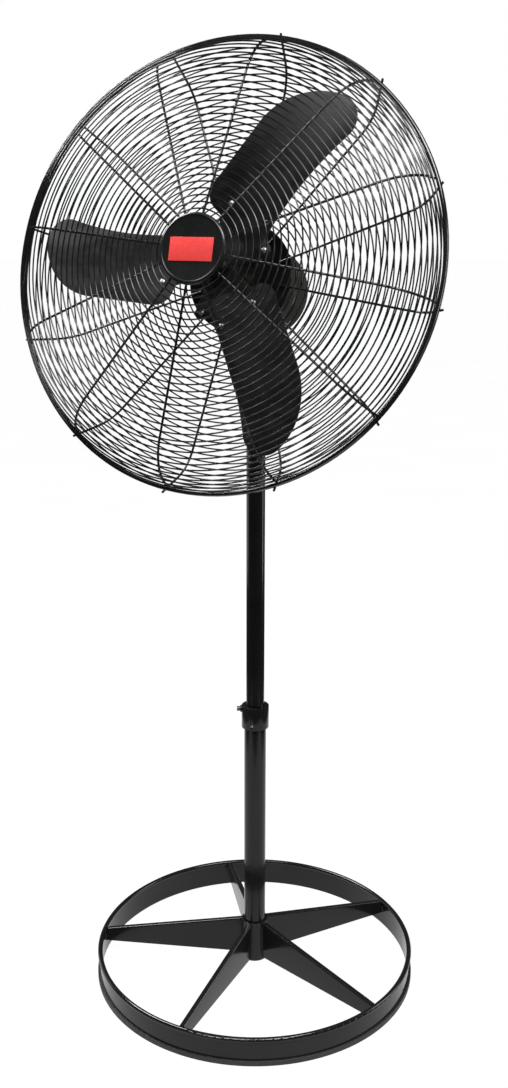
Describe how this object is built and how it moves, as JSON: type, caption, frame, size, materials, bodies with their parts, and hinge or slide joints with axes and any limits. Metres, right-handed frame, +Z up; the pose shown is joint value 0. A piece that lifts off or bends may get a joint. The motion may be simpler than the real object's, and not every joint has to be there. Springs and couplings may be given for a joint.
{
  "type": "pedestal fan",
  "caption": "Air-circulating pedestal fan with a caged blade head on a tilting swivel mount, a telescoping pole and a spoked ring base",
  "frame": {"origin": "on the floor, on the axis of the pole, at the centre of the ring base", "axes": "+Z up along the pole, -Y the way the fan blows (front), +X to the right seen from the front"},
  "size_m": [0.8416, 0.702, 1.9492],
  "materials": {
    "black_enamel": "gloss black enamel",
    "guard_enamel": "semi-gloss black wire enamel",
    "blade_paint": "satin black paint on sheet",
    "motor_paint": "gloss dark paint",
    "black_rubber": "matte",
    "nylon": "matte",
    "knob_plastic": "moulded, fine grain",
    "zinc_steel": "zinc plated",
    "dark_steel": "blackened",
    "bright_steel": "ground",
    "core_steel": "stacked laminations",
    "copper": "enamelled copper wire",
    "cap_plastic": "moulded black",
    "badge_red": "plain red panel",
    "can_metal": "drawn can"
  },
  "bodies": {
    "base": {"base_ring": "black_enamel", "floor_strip": "black_rubber", "spokes": "black_enamel", "hub_socket": "black_enamel", "tube_seat_plate": "black_enamel", "base_bolt": "zinc_steel", "lower_tube": "black_enamel", "guide_bush": "nylon", "collar": "black_enamel", "collar_screws": "zinc_steel"},
    "clamp": {"clamp_screw": "dark_steel"},
    "mast": {"upper_tube": "black_enamel", "tube_glide": "nylon"},
    "turret": {"swivel_socket": "black_enamel", "clevis_ears": "black_enamel", "tilt_bolt": "zinc_steel", "tilt_washer": "zinc_steel"},
    "swivel_lock": {"swivel_screw": "knob_plastic"},
    "tilt_lock": {"tilt_knob": "knob_plastic"},
    "head": {"motor_foot": "black_enamel", "front_bell": "motor_paint", "rear_bell": "motor_paint", "shell_screws": "zinc_steel", "stator_core": "core_steel", "windings": "copper", "front_bearing": "bright_steel", "rear_bearing": "bright_steel", "capacitor": "can_metal", "speed_switch": "nylon", "cord_inlet": "black_rubber", "guard_plate": "black_enamel", "guard_plate_screws": "zinc_steel", "rear_ribs": "guard_enamel", "rear_inner_rings": "guard_enamel", "rear_outer_rings": "guard_enamel", "rear_rim": "guard_enamel", "front_rim": "guard_enamel", "front_ribs": "guard_enamel", "front_inner_rings": "guard_enamel", "front_outer_rings": "guard_enamel", "front_plate": "guard_enamel", "cap": "cap_plastic", "cap_screws": "zinc_steel", "badge_panel": "badge_red"},
    "dial": {"speed_knob": "knob_plastic"},
    "rotor": {"shaft": "bright_steel", "rotor_core": "core_steel", "blade_hub": "blade_paint", "blades": "blade_paint", "blade_rivets": "zinc_steel", "hub_screw": "dark_steel"}
  },
  "joints": [
    {"name": "height_slide", "type": "slide", "parent": "base", "child": "mast", "axis": [0, 0, 1], "range_m": [-0.26, 0.15]},
    {"name": "head_swivel", "type": "hinge", "parent": "mast", "child": "turret", "pos_m": [0, 0, 1.32], "axis": [0, 0, 1], "range_deg": [-170, 170]},
    {"name": "head_tilt", "type": "hinge", "parent": "turret", "child": "head", "pos_m": [0, 0, 1.385], "axis": [-1, 0, 0], "range_deg": [-31, 29]},
    {"name": "fan_spin", "type": "hinge", "parent": "head", "child": "rotor", "pos_m": [0, -0.17729, 1.54897], "axis": [0, -0.9603, 0.279], "continuous": true},
    {"name": "clamp_turn", "type": "hinge", "parent": "base", "child": "clamp", "pos_m": [-0.0313, -0.01328, 0.618], "axis": [-0.9205, -0.3907, 0], "range_deg": [0, 720]},
    {"name": "swivel_lock_turn", "type": "hinge", "parent": "turret", "child": "swivel_lock", "pos_m": [0, 0.038, 1.321], "axis": [0, 1, 0], "range_deg": [0, 720]},
    {"name": "tilt_lock_turn", "type": "hinge", "parent": "turret", "child": "tilt_lock", "pos_m": [0.034, 0, 1.385], "axis": [1, 0, 0], "range_deg": [0, 720]},
    {"name": "speed_select", "type": "hinge", "parent": "head", "child": "dial", "pos_m": [0, 0.08562, 1.51841], "axis": [0, 0.9603, -0.279], "range_deg": [0, 135]}
  ]
}
